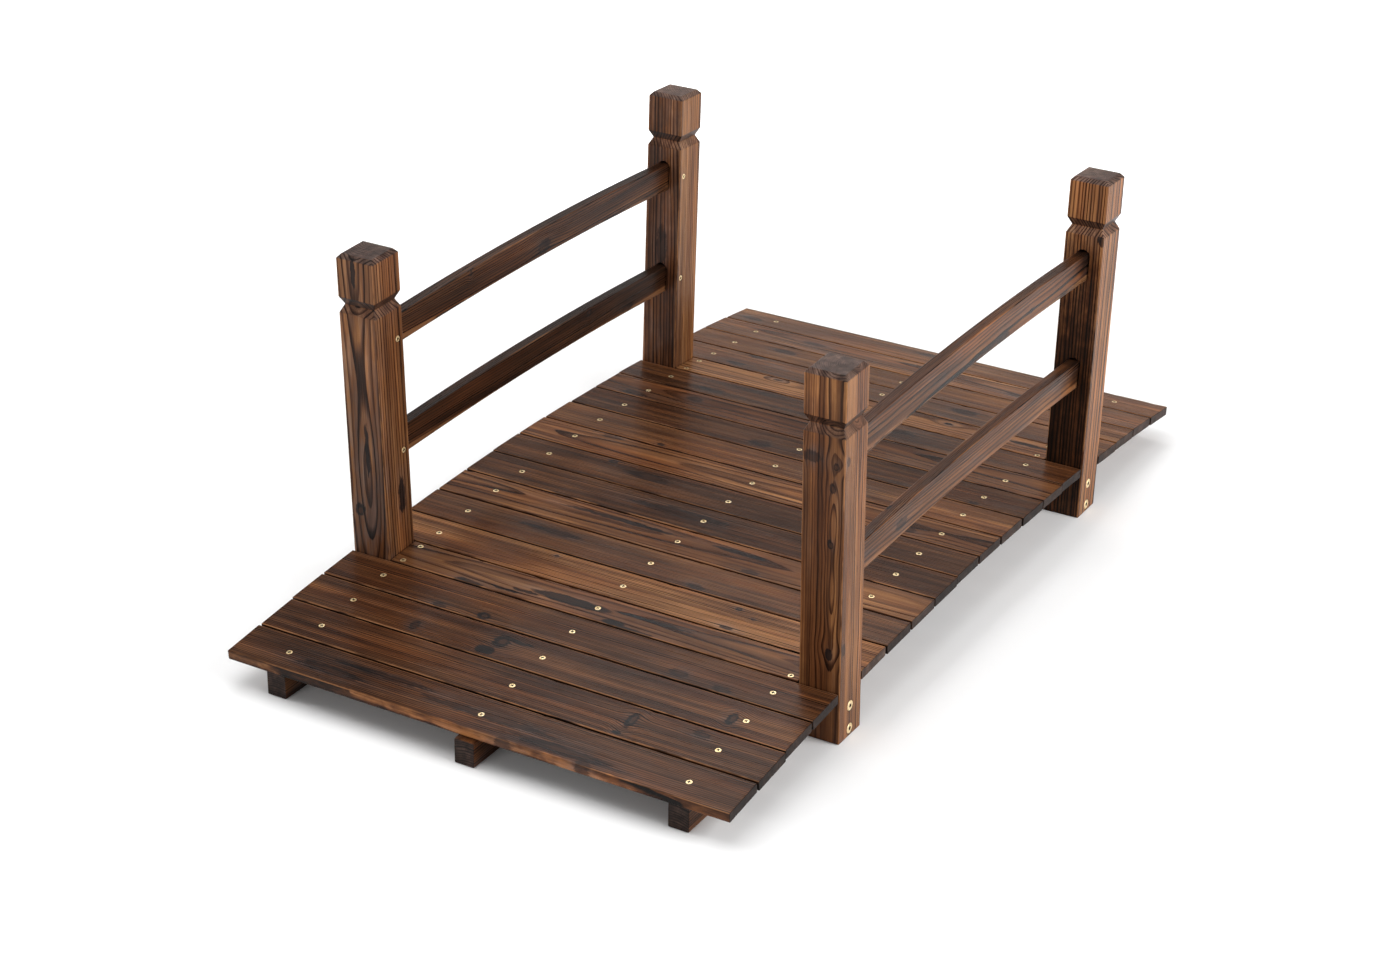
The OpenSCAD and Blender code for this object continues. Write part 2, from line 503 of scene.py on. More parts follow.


# Colours of the wood from charred to worn, as linear RGBA; the worn edge colour is also a painted highlight
CHAR = (0.0045, 0.0033, 0.0028, 1.0)
DARK_BROWN = (0.0190, 0.0078, 0.0040, 1.0)
MID_BROWN = (0.0560, 0.0215, 0.0090, 1.0)
ORANGE_BROWN = (0.1450, 0.0590, 0.0225, 1.0)
TAN = (0.3500, 0.1620, 0.0600, 1.0)
RED_TINT = (1.08, 0.94, 0.84, 1.0)
SMOKE_TINT = (1.00, 1.02, 1.08, 1.0)
KNOT = (0.0075, 0.0074, 0.0082, 1.0)
KNOT_HEART = (0.0700, 0.0290, 0.0150, 1.0)
WORN_EDGE_AND_HIGHLIGHT = (0.3000, 0.1350, 0.0580, 1.0)


def make_wood_group():
    """Charred and varnished softwood: its growth rings are cylinders about a pith line."""
    inputs = MARK_RESULTS + sockets("Vector", "Pith", "Slope", "Half")
    inputs += sockets("Float", "Seed", "Ring", "Wave", "Lines", "Tone", "Smoky", "Wear And Highlight", "Burn",
                      "Top Painted Shade", "Eave Painted Shade", "Side Painted Shade")
    outputs = sockets("Color", "Colour") + sockets("Float", "Roughness", "Height")
    g, given, result = new_group("charred_wood", inputs, outputs)
    coordinates = g.add("TexCoord").outputs
    here = g.scaled(coordinates["Object"], MM_PER_M)
    there = g.vector("ADD", here, g.scaled((211.0, 97.0, 53.0), given["Seed"]))
    facing_x, _, facing_z = g.split(coordinates["Normal"])
    end_grain = g.step(g.math("ABSOLUTE", facing_x), 0.15, 0.75)
    _, reach_y, reach_z = g.split(g.vector("SUBTRACT", g.vector("ABSOLUTE", here), given["Half"]))

    # Growth rings, bent by the marks and by the wandering of the grain
    bent = g.vector("ADD", here, given["Shift"])
    bent = g.vector("ADD", bent, g.drift(there, GRAIN_WANDER, given["Wave"]))
    bent = g.vector("ADD", bent, g.drift(there, GRAIN_RIPPLE, RIPPLE_DRIFT))
    pith = g.vector("ADD", given["Pith"], g.scaled(given["Slope"], g.split(here)[0]))
    from_pith = g.vector("MULTIPLY", g.vector("SUBTRACT", bent, pith), (0.0, 1.0, 1.0))
    radius = g.vector("LENGTH", from_pith)
    years = g.math("MULTIPLY_ADD", radius, 0.045, given["Seed"])
    growth = g.add("TexNoise", {"W": years, "Scale": 1.0}, noise_dimensions="1D").outputs["Fac"]
    count = g.math("ADD", g.math("DIVIDE", radius, given["Ring"]), g.about(growth, 1.9))
    phase = g.math("FRACT", count)
    year = g.math("FLOOR", count)
    vigour = g.add("TexWhiteNoise", {"W": year}, noise_dimensions="1D").outputs["Value"]
    late = g.product(g.step(phase, 0.42, 0.90), g.step(phase, 0.93, 1.0, 1.0, 0.0))
    line = g.product(late, g.math("MULTIPLY_ADD", vigour, 0.85, 0.25))

    # Tone, from fibres, streaks along the grain, blotches of stain, the marks, and painted shade on the
    # tops, the long sides and the downward faces
    fibre = g.noise(there, FIBRES, detail=3.0, roughness=0.6)
    streaks = g.noise(there, STREAKS, detail=2.0)
    blotches = g.noise(there, BLOTCHES, detail=2.0)
    value = g.total(
        given["Tone"],
        g.about(streaks, STREAK_GAIN),
        g.about(fibre, FIBRE_GAIN),
        g.about(blotches, BLOTCH_GAIN),
        g.product(line, given["Lines"], -1.0),
        g.product(given["Shade"], -1.0),
        g.product(given["Mark"], MARK_GAIN),
        g.product(end_grain, END_GRAIN_GAIN),
        # Painted shade on faces that look up
        g.product(g.step(facing_z, 0.5, 0.9), given["Top Painted Shade"], -1.0),
        # Painted shade on the long sides of a board, where they lie in the gaps, partly char
        g.product(g.step(reach_y, -0.9, -0.2), given["Side Painted Shade"], -1.0),
        # Painted shade on faces that look down along the grain, such as the upper facet of a post's groove
        g.product(g.step(facing_x, -0.35, -0.15, 1.0, 0.0), given["Eave Painted Shade"], -1.0))
    colour = g.ramp(value, [
        (0.0, CHAR), (0.25, DARK_BROWN), (0.5, MID_BROWN), (0.75, ORANGE_BROWN), (1.0, TAN)])
    redness = g.step(g.noise(there, RED_PATCHES), 0.35, 0.70)
    colour = g.mix(redness, colour, RED_TINT, blend="MULTIPLY")

    # Smoky grey patches where the flame lingered, and greyed end grain, partly a painted sheen on the caps
    # and bevels
    haze = g.noise(there, HAZE_PATCHES, detail=4.0, roughness=0.6)
    haze = g.math("MAXIMUM", g.product(g.step(haze, 0.50, 0.74), given["Smoky"]), given["Smoke"])
    # Grey over the end grain: partly a painted sheen on the cap tops and bevels
    haze = g.math("MAXIMUM", haze, g.product(end_grain, 0.5))
    grey = g.add("RGBToBW", {"Color": colour}).outputs[0]
    grey = g.add("CombineColor", {"Red": grey, "Green": grey, "Blue": grey}).outputs[0]
    colour = g.mix(haze, colour, g.mix(1.0, grey, SMOKE_TINT, blend="MULTIPLY"))

    # Worn long edges with a painted highlight on them, burnt ends, marks and the hearts of knots
    rub = g.noise(there, RUBBED_PATCHES, detail=3.0, roughness=0.6)
    corner = g.product(g.step(reach_y, -2.3, -0.9), g.step(reach_z, -1.2, -0.4))
    worn_and_highlight = g.product(corner, g.step(rub, 0.36, 0.58), given["Wear And Highlight"])
    colour = g.mix(worn_and_highlight, colour, WORN_EDGE_AND_HIGHLIGHT)
    burnt = g.product(end_grain, given["Burn"])
    colour = g.mix(burnt, colour, CHAR)
    marked = g.product(given["Mark"], g.step(fibre, 0.30, 0.65, 0.92, 0.50))
    colour = g.mix(marked, colour, KNOT)
    hearted = g.product(given["Heart"], g.step(fibre, 0.30, 0.62, 0.35, 1.0))
    colour = g.mix(hearted, colour, KNOT_HEART)
    g.feed(result["Colour"], colour)

    # Varnish lies smoother on the hard late wood than on fibres and ends
    rough = g.total(0.31, g.about(fibre, 0.16), g.product(line, -0.05), g.product(burnt, 0.4))
    g.feed(result["Roughness"], rough)
    relief = g.total(g.product(line, 0.6), g.about(fibre, 0.8), g.product(given["Mark"], -0.4))
    g.feed(result["Height"], relief)
    return g.tree


MARK_GROUP = make_mark_group()
WOOD_GROUP = make_wood_group()
SPECULAR = 0.09
GRAIN_RELIEF = 0.0004
GRAIN_STRENGTH = 0.5


def mark(x, y, length, width, z, depth, **given):
    """A mark about a place in the wood, in millimetres; its sizes are half lengths along X, Y and Z."""
    return {"Centre": (x, y, z), "Size": (length, width, depth), **given}


def knot(x, y, length, width, z=0.0, depth=30.0, dark=0.95):
    return mark(x, y, length, width, z, depth, Dark=dark, Bend=0.6, Smoke=0.40, Ragged=1.3)


def streak(x, y, length, width, z=0.0, depth=30.0):
    return mark(x, y, length, width, z, depth, Dark=0.92, Bend=0.1, Smoke=0.3, Ragged=0.9)


def scorch(x, y, length, width, z=0.0, depth=30.0):
    return mark(x, y, length, width, z, depth, Dark=0.96, Smoke=0.35, Ragged=0.4)


def smudge(x, y, length, width, z=0.0, depth=30.0):
    return mark(x, y, length, width, z, depth, Dark=0.50, Bend=0.3, Smoke=0.60, Ragged=1.7)


def eye(x, y, length, width, lift, z=0.0, depth=14.0):
    """Closed rings in the figure, where the cut grazes a bulge in the growth rings."""
    return mark(x, y, length, width, z, depth, Lift=lift)


# Growth rings of a piece: a point of their pith, its slope, their width, how they wave, and their contrast
Figure = namedtuple("Figure", "pith slope ring wave lines")


def wood_material(name, seed, figure, section, marks, tone, smoky, wear_and_highlight, burn,
                  top_painted_shade=0.0, eave_painted_shade=0.0, side_painted_shade=0.0):
    """Material of one piece of wood; its section is its width and height in metres."""
    material = bpy.data.materials.new(name)
    g = shader_graph(material)
    width, height = section
    given = {
        "Seed": seed, "Pith": figure.pith, "Slope": figure.slope, "Ring": figure.ring, "Wave": figure.wave,
        "Lines": figure.lines, "Tone": tone, "Smoky": smoky, "Wear And Highlight": wear_and_highlight, "Burn": burn,
        "Top Painted Shade": top_painted_shade, "Eave Painted Shade": eave_painted_shade, "Side Painted Shade": side_painted_shade,
        "Half": (0.0, width * MM_PER_M / 2, height * MM_PER_M / 2)}
    for i, settings in enumerate(marks):
        node = g.add("Group", {**settings, "Seed": seed * 31.0 + i * 57.0}, node_tree=MARK_GROUP)
        for result, _ in MARK_RESULTS:
            value = node.outputs[result]
            if result not in given:
                given[result] = value
            elif result == "Shift":
                given[result] = g.vector("ADD", given[result], value)
            elif result == "Shade":
                given[result] = g.math("ADD", given[result], value)
            else:
                given[result] = g.math("MAXIMUM", given[result], value)
    wood = g.add("Group", given, node_tree=WOOD_GROUP).outputs
    bump = g.add("Bump", {"Height": wood["Height"], "Strength": GRAIN_STRENGTH, "Distance": GRAIN_RELIEF})
    shader = g.add("BsdfPrincipled", {
        "Base Color": wood["Colour"], "Roughness": wood["Roughness"], "Normal": bump.outputs["Normal"],
        "Specular IOR Level": SPECULAR})
    g.add("OutputMaterial", {"Surface": shader.outputs[0]})
    return material


def metal_material(name, metallic, roughness, stops):
    """Plated steel with fine scratches; stops are its colours from stained to bright."""
    material = bpy.data.materials.new(name)
    g = shader_graph(material)
    here = g.scaled(g.add("TexCoord").outputs["Object"], MM_PER_M)
    scratch = g.noise(here, (0.25, 2.5, 0.8), detail=3.0, roughness=0.6)
    stain = g.noise(here, (3.0, 3.0, 3.0), detail=3.0)
    rough = g.total(roughness, g.about(scratch, 0.18), g.about(stain, 0.12))
    bump = g.add("Bump", {"Height": scratch, "Strength": 0.25, "Distance": 0.0001})
    shader = g.add("BsdfPrincipled", {
        "Base Color": g.ramp(stain, stops), "Roughness": rough, "Normal": bump.outputs["Normal"],
        "Metallic": metallic})
    g.add("OutputMaterial", {"Surface": shader.outputs[0]})
    return material


BRASS = metal_material("brass_fastener", metallic=0.65, roughness=0.34, stops=[
    (0.30, (0.62, 0.40, 0.15, 1.0)),
    (0.50, (0.86, 0.66, 0.36, 1.0)),
    (0.75, (0.92, 0.78, 0.52, 1.0)),
])
# Dark finish for the recesses of the heads: painted shade, where light does not reach into them
RECESS_PAINTED_SHADE = metal_material("recess_painted_shade", metallic=0.2, roughness=0.60, stops=[
    (0.35, (0.012, 0.009, 0.006, 1.0)),
    (0.65, (0.050, 0.032, 0.016, 1.0)),
])


# Fasteners

HEAD_SEGMENTS = 32
SEAT_SEGMENTS = 28
RIM_TURNS = (30, 60, 90)


def recessed_head(name, radius, rim, recess, recess_depth, taper, skirt):
    """Flat round head with a rounded rim, a recess of the given outline and a skirt that runs into the wood.

    The faces of the recess take the second material, which paints shade into the recess.
    """
    bm = bmesh.new()

    def ring(r, z):
        return [bm.verts.new((x, y, z)) for x, y in circle(r, HEAD_SEGMENTS)]

    rings = [ring(radius * 0.55, -skirt), ring(radius, -rim)]
    for turn in RIM_TURNS:
        a = math.radians(turn)
        rings.append(ring(radius - rim * (1 - math.cos(a)), -rim + rim * math.sin(a)))
    for lower, upper in zip(rings, rings[1:]):
        wall(bm, lower, upper)
    bm.faces.new(rings[0][::-1])
    mouth = [bm.verts.new((x, y, 0.0)) for x, y in recess]
    floor = [bm.verts.new((x * taper, y * taper, -recess_depth)) for x, y in recess]
    edges = []
    for loop in (rings[-1], mouth):
        for i in range(len(loop)):
            pair = (loop[i], loop[(i + 1) % len(loop)])
            edges.append(bm.edges.get(pair) or bm.edges.new(pair))
    bmesh.ops.triangle_fill(bm, edges=edges, use_beauty=True)
    for face in wall(bm, floor, mouth) + [bm.faces.new(floor)]:
        face.material_index = 1
    bmesh.ops.recalc_face_normals(bm, faces=bm.faces)
    return finished(bm, name)


def cross_outline(reach, half_width):
    """Outline of a cross recess."""
    quarter = ((reach, -half_width), (reach, half_width), (half_width, half_width))
    points = []
    for turn in range(4):
        for x, y in quarter:
            for _ in range(turn):
                x, y = -y, x
            points.append((x, y))
    return points


def cone(name, top_radius, low_radius, above, below):
    """Plug that cuts the seat of a fastener."""
    levels = ((low_radius, -below), (top_radius, 0.0), (top_radius * 1.04, above))
    return loft(name, [[(x, y, z) for x, y in circle(r, SEAT_SEGMENTS)] for r, z in levels])


SCREW_HEAD = recessed_head(
    "screw_head", SCREW_RADIUS, rim=0.0006, recess=cross_outline(reach=0.0027, half_width=0.0009),
    recess_depth=0.0022, taper=0.6, skirt=0.003)
BOLT_HEAD = recessed_head(
    "bolt_head", BOLT_RADIUS, rim=0.0009, recess=circle(radius=0.0034, segments=6),
    recess_depth=0.0032, taper=0.96, skirt=0.004)
SCREW_SEAT = cone(
    "screw_seat", top_radius=SCREW_RADIUS + 0.0006, low_radius=0.0012, above=0.002, below=0.0045)
BOLT_SEAT = cone(
    "bolt_seat", top_radius=BOLT_RADIUS + 0.0009, low_radius=BOLT_RADIUS + 0.0007, above=0.003, below=0.0016)


# Deck

def board_stations():
    """(station along the arch, is it a short board) for the twenty boards."""
    front = [-DECK_HALF + BOARD_WIDTH / 2 + i * BOARD_PITCH for i in range(END_BOARDS)]
    middle = [(i - (MIDDLE_BOARDS - 1) / 2) * BOARD_PITCH for i in range(MIDDLE_BOARDS)]
    rows = [(s, False) for s in front] + [(-POST_STATION, True)] + [(s, False) for s in middle]
    return rows + [(POST_STATION, True)] + [(-s, False) for s in front[::-1]]


def board_matrix(station):
    """Local frame of a board: X along it to the left side, Y to the front, Z out of the deck."""
    angle = station / DECK_RADIUS
    out = Vector((math.sin(angle), 0.0, math.cos(angle)))
    centre = Vector((0.0, 0.0, DECK_CENTRE_Z)) + out * (DECK_RADIUS - BOARD_THICKNESS / 2)
    return axes((0.0, 1.0, 0.0), out, centre)


# Unevenness of a board: its edges wander, it is cupped, its top arrises are dented
EDGE_WAVELENGTH = 0.21
EDGE_WANDER = 0.00022
MOST_CUP = 0.00022
DENT_COUNT = 6
DENT_REACH = (0.005, 0.016)
DENT_DEPTH = (0.0003, 0.0009)
DENTED_HEIGHT = 0.0022
DENTED_FROM = 0.93
DENT_SLANT = 0.7


def board_mesh(name, length, width, stagger, rng):
    """One board with eased, uneven edges; stagger moves it along its own length."""
    half_x, half_y, half_z = length / 2, width / 2, BOARD_THICKNESS / 2
    outline = rounded_outline(half_y, half_z, BOARD_EDGE_EASE)
    edges = {side: wander(rng, EDGE_WAVELENGTH, EDGE_WANDER) for side in (1, -1)}
    cup = rng.uniform(-MOST_CUP, MOST_CUP)
    dents = []
    for _ in range(DENT_COUNT):
        at = rng.uniform(-half_x, half_x)
        dents.append((at, rng.choice((-1, 1)), rng.uniform(*DENT_REACH), rng.uniform(*DENT_DEPTH)))
    sections = []
    for x in end_stations(half_x, BOARD_END_EASE, BOARD_STEP):
        inset = end_inset(x, half_x, BOARD_END_EASE)
        ring = []
        for y, z in outline:
            side = 1 if y > 0 else -1
            across = y / half_y
            new_y = y - across * inset + edges[side](x) * abs(across)
            new_z = z * (1 - inset / half_z) + cup * (across ** 2 - 0.4)
            for at, dent_side, reach, depth in dents:
                if dent_side == side and z > half_z - DENTED_HEIGHT and abs(across) > DENTED_FROM:
                    fall = math.exp(-((x - at) / reach * 2) ** 2) * depth
                    new_y -= side * fall * DENT_SLANT
                    new_z -= fall * DENT_SLANT
            ring.append((x + stagger, new_y, new_z))
        sections.append(ring)
    return loft(name, sections)


# Boards are numbered from the front; those not named here are quarter-sawn
FLAT_SAWN = {5, 8, 11, 14, 16, 19}

# Tone of each board, how smoky it is, and how worn its edges are, with a painted highlight on them
BOARD_LOOKS = (
    (0.55, 0.12, 0.55), (0.55, 0.15, 0.80), (0.57, 0.15, 0.80), (0.59, 0.15, 0.50), (0.70, 0.12, 0.95),
    (0.90, 0.05, 0.95), (0.64, 0.12, 0.45), (0.70, 0.15, 0.45), (0.55, 0.12, 0.90), (0.56, 0.12, 0.45),
    (0.71, 0.12, 0.45), (0.75, 0.12, 0.45), (0.54, 0.35, 0.45), (0.59, 0.25, 0.45), (0.58, 0.40, 0.45),
    (0.87, 0.10, 0.75), (0.72, 0.40, 0.45), (0.77, 0.25, 0.45), (0.72, 0.25, 0.45), (0.76, 0.25, 0.45),
)

# Marks on the boards, in millimetres to the left and to the front of the board's middle
BOARD_MARKS = {
    1: [smudge(-184, 33, 14, 8), smudge(-57, 37, 13, 6), smudge(-140, 20, 85, 10),
        smudge(250, 10, 60, 9), smudge(-10, 0, 120, 8), smudge(170, -14, 90, 6),
        # Front face of board 1 lightened: painted light on the face that looks to the front
        mark(0, 42, 600, 9, 0, 16, Shade=-0.62, Ragged=0.4)],
    2: [knot(-190, -5, 8, 20), scorch(-186, 28, 8, 5), smudge(-292, -21, 15, 8)],
    3: [knot(74, -7, 14, 17), scorch(84, 20, 17, 11), streak(48, -17, 24, 4), knot(-309, 6, 8, 16),
        smudge(209, 15, 8, 12)],
    4: [knot(134, 25, 12, 9), smudge(208, 31, 13, 7), smudge(-262, 27, 16, 8), smudge(-188, 20, 18, 9)],
    5: [knot(206, 28, 26, 7), streak(150, 20, 32, 3), streak(118, 11, 24, 4), scorch(44, 2, 72, 11),
        scorch(-40, 24, 20, 7), scorch(-78, 29, 34, 5), streak(-90, -6, 70, 4)],
    6: [mark(310, 0, 170, 90, 0, 40, Shade=0.13, Ragged=0.5), knot(-187, 28, 13, 6), knot(-179, -24, 6, 4),
        knot(133, -26, 4, 3), knot(-211, -9, 4, 3)],
    7: [smudge(-92, 27, 16, 7), smudge(180, -10, 60, 8)],
    8: [streak(110, -15, 115, 5), streak(-98, -15, 50, 5), smudge(-141, 28, 17, 6)],
    9: [smudge(40, -5, 90, 12)],
    10: [knot(224, -28, 9, 6), smudge(150, -8, 45, 12)],
    11: [smudge(274, -28, 22, 7), smudge(-281, 15, 14, 10)],
    12: [knot(194, 30, 7, 4), smudge(-120, 0, 40, 9)],
    13: [smudge(62, 14, 22, 12), smudge(-323, 30, 9, 5)],
    14: [smudge(340, 26, 24, 10), smudge(243, -9, 16, 10)],
    15: [smudge(240, 12, 26, 9), smudge(-60, -4, 80, 12)],
    16: [knot(172, -22, 11, 5), knot(-152, -14, 9, 5), streak(-303, -8, 45, 6)],
    17: [smudge(272, 20, 20, 8), smudge(-150, -10, 28, 12), smudge(259, -30, 18, 7)],
    18: [smudge(231, -9, 28, 9)],
    19: [smudge(212, -6, 26, 8), smudge(-200, 10, 40, 8)],
    20: [smudge(372, 14, 22, 11), smudge(20, -12, 40, 8)],
}

BOARD_SEED = 100

# How far boards and screws lie off their places, in millimetres
END_STAGGER = 1.2
SCREW_SCATTER = 1

screws = []
for number, (station, short) in enumerate(board_stations(), start=1):
    name = f"deck_board_{number:02d}"
    rng = random.Random(BOARD_SEED + number)
    length = SHORT_BOARD_LENGTH if short else BOARD_LENGTH
    width = SHORT_BOARD_WIDTH if short else BOARD_WIDTH
    stagger = 0.0 if short else rng.uniform(-END_STAGGER, END_STAGGER) * MM
    matrix = board_matrix(station)
    spots = [(-SCREW_Y, 0.0), (0.0, 0.0), (SCREW_Y, 0.0)]
    if short:
        spread = SHORT_BOARD_SCREW_SPREAD
        spots = [(0.0, 0.0)] + [(sx * SCREW_Y, sy * spread) for sx in (-1, 1) for sy in (-1, 1)]
    seats = []
    for x, y in spots:
        x += rng.uniform(-SCREW_SCATTER, SCREW_SCATTER) * MM
        y += rng.uniform(-SCREW_SCATTER, SCREW_SCATTER) * MM
        seats.append(Matrix.Translation((x, y, BOARD_THICKNESS / 2)))
    mesh = board_mesh(name + "_wood", length, width, stagger, rng)
    mesh = cut(mesh, joined("seats", [(SCREW_SEAT, seat) for seat in seats]))
    for seat in seats:
        turn = Matrix.Rotation(rng.uniform(0, math.pi / 2), 4, "Z")
        screws.append(matrix @ seat @ Matrix.Translation((0, 0, -SCREW_SINK)) @ turn)
    tone, smoky, wear_and_highlight = BOARD_LOOKS[number - 1]
    if number in FLAT_SAWN:
        pith = (0.0, rng.uniform(-25, 25), rng.uniform(-55, -40))
        slope = (0.0, rng.uniform(-0.01, 0.01), rng.choice((-1, 1)) * rng.uniform(0.008, 0.018))
        figure = Figure(pith, slope, ring=rng.uniform(3.4, 4.2), wave=8.0, lines=0.36)
    else:
        pith = (0.0, rng.choice((-1, 1)) * rng.uniform(130, 240), rng.uniform(-50, -10))
        slope = (0.0, rng.uniform(-0.006, 0.006), rng.uniform(-0.02, 0.02))
        figure = Figure(pith, slope, ring=rng.uniform(2.8, 3.8), wave=4.0, lines=0.82)
    material = wood_material(
        name + "_wood", number * 1.37, figure, (width, BOARD_THICKNESS), BOARD_MARKS[number],
        tone=tone, smoky=smoky, wear_and_highlight=wear_and_highlight, burn=0.5, side_painted_shade=0.30)
    place(name + "_wood", mesh, matrix, [name], "deck_wood", material)


# Stringers

STRINGER_SEED = 300

# Half the height of the outline that is drawn together to the height of a stringer
TALL = 0.5


def stringer_mesh(name, half_length):
    """Stringer with an arched top, flat feet and a shallow arch between them."""
    outline = rounded_outline(STRINGER_WIDTH / 2, TALL, STRINGER_EDGE_EASE, y_steps=4, z_steps=2)
    springings = [-ARCH_HALF, ARCH_HALF]
    sections = []
    for x in sorted(end_stations(half_length, STRINGER_END_EASE, STRINGER_STEP) + springings):
        top = DECK_CENTRE_Z + math.sqrt(STRINGER_RADIUS ** 2 - x ** 2)
        bottom = 0.0
        if abs(x) < ARCH_HALF:
            bottom = ARCH_RISE - ARCH_RADIUS + math.sqrt(ARCH_RADIUS ** 2 - x ** 2)
        inset = end_inset(x, half_length, STRINGER_END_EASE)
        ring = []
        for y, z in outline:
            new_y = y * (1 - inset / (STRINGER_WIDTH / 2))
            if z > 0:
                new_z = max((top + bottom) / 2, top - inset + (z - TALL))
            else:
                new_z = min((top + bottom) / 2, bottom + inset + (z + TALL))
            ring.append((x, new_y, new_z))
        sections.append(ring)
    return loft(name, sections)


STRINGERS = {
    "left_stringer": (STRINGER_Y, DECK_END_X - STRINGER_SETBACK),
    "centre_stringer": (0.0, DECK_END_X + STRINGER_OVERHANG),
    "right_stringer": (-STRINGER_Y, DECK_END_X - STRINGER_SETBACK),
}
for number, (name, (y, half_length)) in enumerate(STRINGERS.items()):
    rng = random.Random(STRINGER_SEED + number)
    mesh = stringer_mesh(name + "_wood", half_length)
    pith = (0.0, rng.uniform(-12, 12), rng.uniform(-60, -20))
    figure = Figure(pith, (0.0, 0.004, 0.01), ring=rng.uniform(3.5, 4.5), wave=5.0, lines=0.5)
    marks = [smudge(rng.uniform(-500, 500), 0, 40, 20, z=50), knot(rng.uniform(-300, 300), 16, 14, 9, z=60)]
    material = wood_material(
        name + "_wood", 40.0 + number * 2.3, figure, (STRINGER_WIDTH, DECK_END_HEIGHT), marks,
        tone=0.57, smoky=0.8, wear_and_highlight=0.0, burn=0.3)
    place(name + "_wood", mesh, Matrix.Translation((0.0, y, 0.0)), [name], "stringer_wood", material)


# Posts

POST_SEED = 500

# Height up the post and how far its outline draws in: at the foot, and for the vee groove and the cap
POST_FOOT = ((0.0, 0.0008), (0.00025, 0.00025), (0.0008, 0.0))
POST_PROFILE = eased_line([
    (GROOVE_HEIGHT - 0.010, 0.0),
    (GROOVE_HEIGHT, 0.0),
    (GROOVE_HEIGHT + GROOVE_WIDTH / 2, GROOVE_DEPTH),
    (GROOVE_HEIGHT + GROOVE_WIDTH, 0.0),
    (POST_HEIGHT - CAP_BEVEL_HEIGHT, 0.0),
    (POST_HEIGHT, CAP_BEVEL_INSET),
    (POST_HEIGHT, CAP_BEVEL_INSET + 0.006),
], POST_PROFILE_EASE)

# Plain rings between the foot and the groove
POST_RINGS = 30
POST_RINGS_FROM = 0.02
POST_RINGS_RUN = 0.44


def post_matrix(end, side):
    """Local frame of a post: X up it, Y to the left side, Z to the front."""
    up = Vector((end * math.sin(POST_LEAN), 0.0, math.cos(POST_LEAN)))
    front = Vector((-math.cos(POST_LEAN), 0.0, end * math.sin(POST_LEAN)))
    return axes(up, front, (end * POST_X, side * POST_Y, 0.0))


def post_mesh(name, end):
    """Square post with eased corners, its foot cut level, a vee groove and a bevelled cap."""
    half = POST_WIDTH / 2
    outline = rounded_outline(half, half, POST_EDGE_EASE, corner_steps=6, y_steps=3, z_steps=3)
    fall = -end * math.tan(POST_LEAN)

    def drawn_in(inset):
        return [(y * (1 - inset / half), z * (1 - inset / half)) for y, z in outline]

    sections = []
    for rise, inset in POST_FOOT:
        sections.append([(rise + z * fall, y, z) for y, z in drawn_in(inset)])
    plain = [(POST_RINGS_FROM + POST_RINGS_RUN * k / POST_RINGS, 0.0) for k in range(POST_RINGS)]
    for x, inset in plain + POST_PROFILE:
        sections.append([(x, y, z) for y, z in drawn_in(inset)])
    return loft(name, sections)


def rail_meets_post(up):
    """Where a rail's middle line meets the inner face of the rear posts, and its slope there."""
    x = POST_X - POST_WIDTH / 2 * math.cos(POST_LEAN) + up * math.sin(POST_LEAN)
    z = POST_WIDTH / 2 * math.sin(POST_LEAN) + up * math.cos(POST_LEAN)
    return x, z, math.asin(x / RAIL_RADIUS)


# Place along a mortise, from its mouth, and how far it is widened there
MORTISE_PROFILE = ((-MORTISE_DEPTH, 0.0), (-0.0008, 0.0), (-0.0003, 0.0003), (0.0, 0.0007), (0.004, 0.0012))
MORTISE_STEPS = 16


def mortise_mesh(name):
    """Round-ended slot along X, with a slightly eased mouth at X = 0."""
    sections = []
    for x, grow in MORTISE_PROFILE:
        radius = MORTISE_RADIUS + grow
        ring = []
        for end in (1, -1):
            for k in range(MORTISE_STEPS + 1):
                turn = math.radians((0 if end > 0 else 180) + 180 * k / MORTISE_STEPS)
                ring.append((x, radius * math.cos(turn), end * MORTISE_REACH + radius * math.sin(turn)))
        sections.append(ring)
    return loft(name, sections)


def front_shade(x, length, width, shade, smoke=0.0):
    """A darker stretch of a post's front, or a lighter one where shade is below zero: painted shade and
    painted light on the front, which faces away from the key light, partly the wood's own tone.
    """
    return mark(x, 0, length, width, 40, 14, Shade=shade, Smoke=smoke, Ragged=0.5)


MORTISE = mortise_mesh("mortise")

